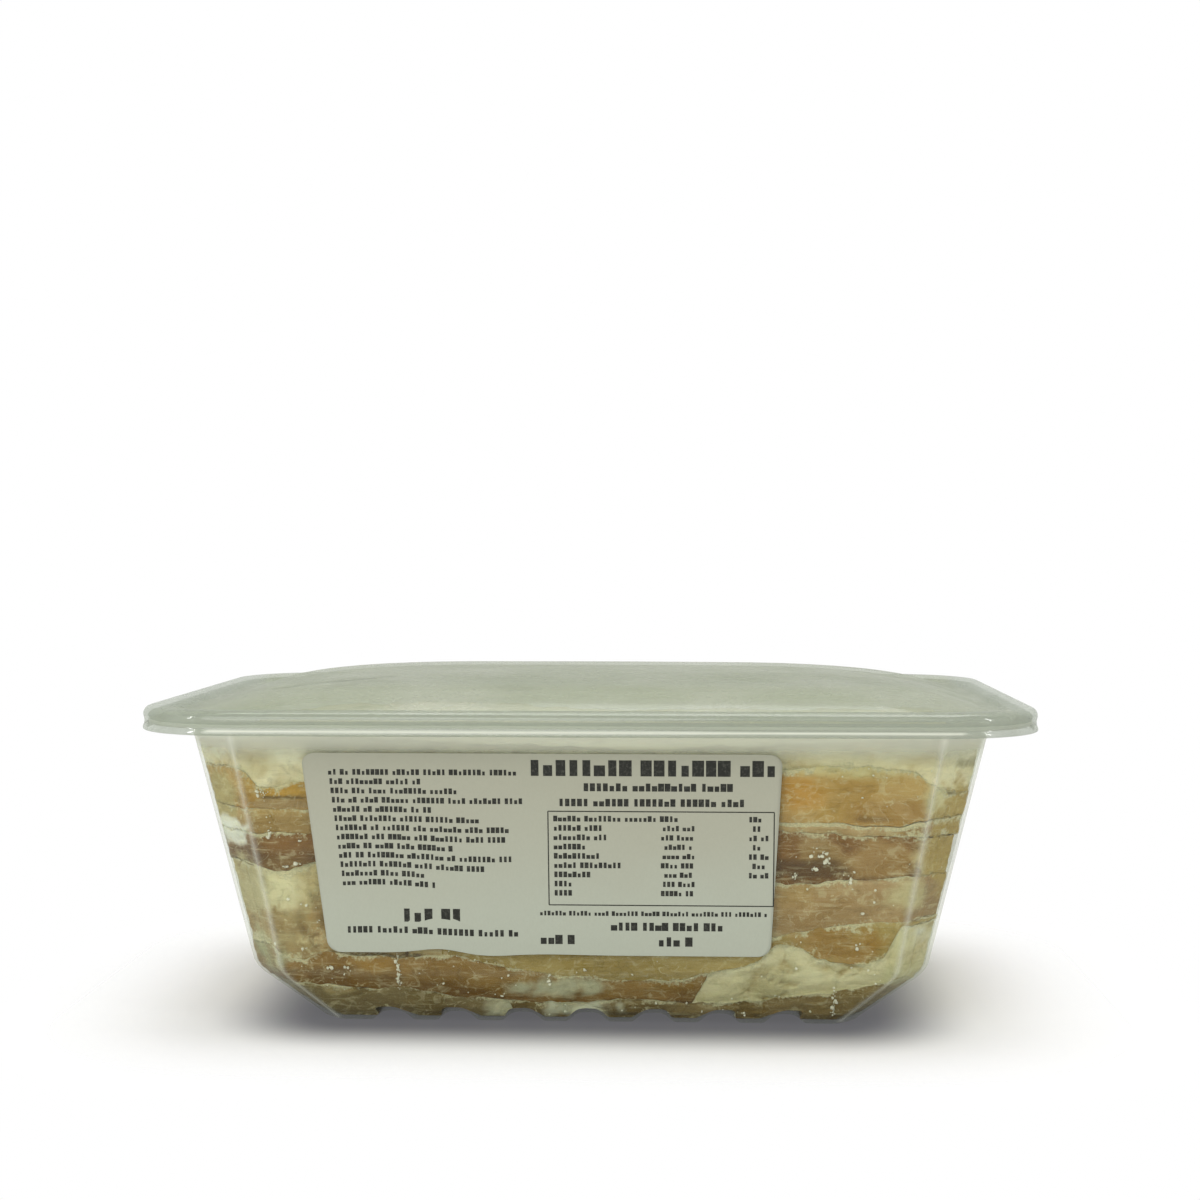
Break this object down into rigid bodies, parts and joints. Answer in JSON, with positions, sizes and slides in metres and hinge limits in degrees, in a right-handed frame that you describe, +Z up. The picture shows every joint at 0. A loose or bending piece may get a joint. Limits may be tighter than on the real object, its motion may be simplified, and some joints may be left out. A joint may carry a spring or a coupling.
{
  "type": "tub of salted dried cod",
  "caption": "Clear plastic tub with a press-on cushioned lid and a front label, packed with layered fillets of salted dried cod.",
  "frame": {"origin": "middle of the whole's outline at the height of the feet it stands on", "axes": "+Z up, -Y towards the labelled front wall, X along the tub's length"},
  "size_m": [0.22, 0.153, 0.086],
  "materials": {
    "tub_plastic": "clear, glossy, slightly hazy",
    "lid_plastic": "translucent, satin",
    "label_paper": "satin, printed",
    "cod_cream": "dry flesh with a crust of salt",
    "cod_ochre": "dry flesh, waxy",
    "cod_brown": "dry flesh, darkened",
    "cod_pale": "dry flesh, pale and flaky"
  },
  "bodies": {
    "root": {"tub": "tub_plastic", "lid": "lid_plastic", "label": "label_paper", "fillet_01": "cod_brown", "fillet_02": "cod_pale", "fillet_03": "cod_brown", "fillet_04": "cod_pale", "fillet_05": "cod_cream", "fillet_06": "cod_ochre", "fillet_07": "cod_cream", "fillet_08": "cod_brown", "fillet_09": "cod_brown", "fillet_10": "cod_cream", "fillet_11": "cod_ochre", "fillet_12": "cod_cream", "fillet_13": "cod_cream"}
  },
  "joints": []
}
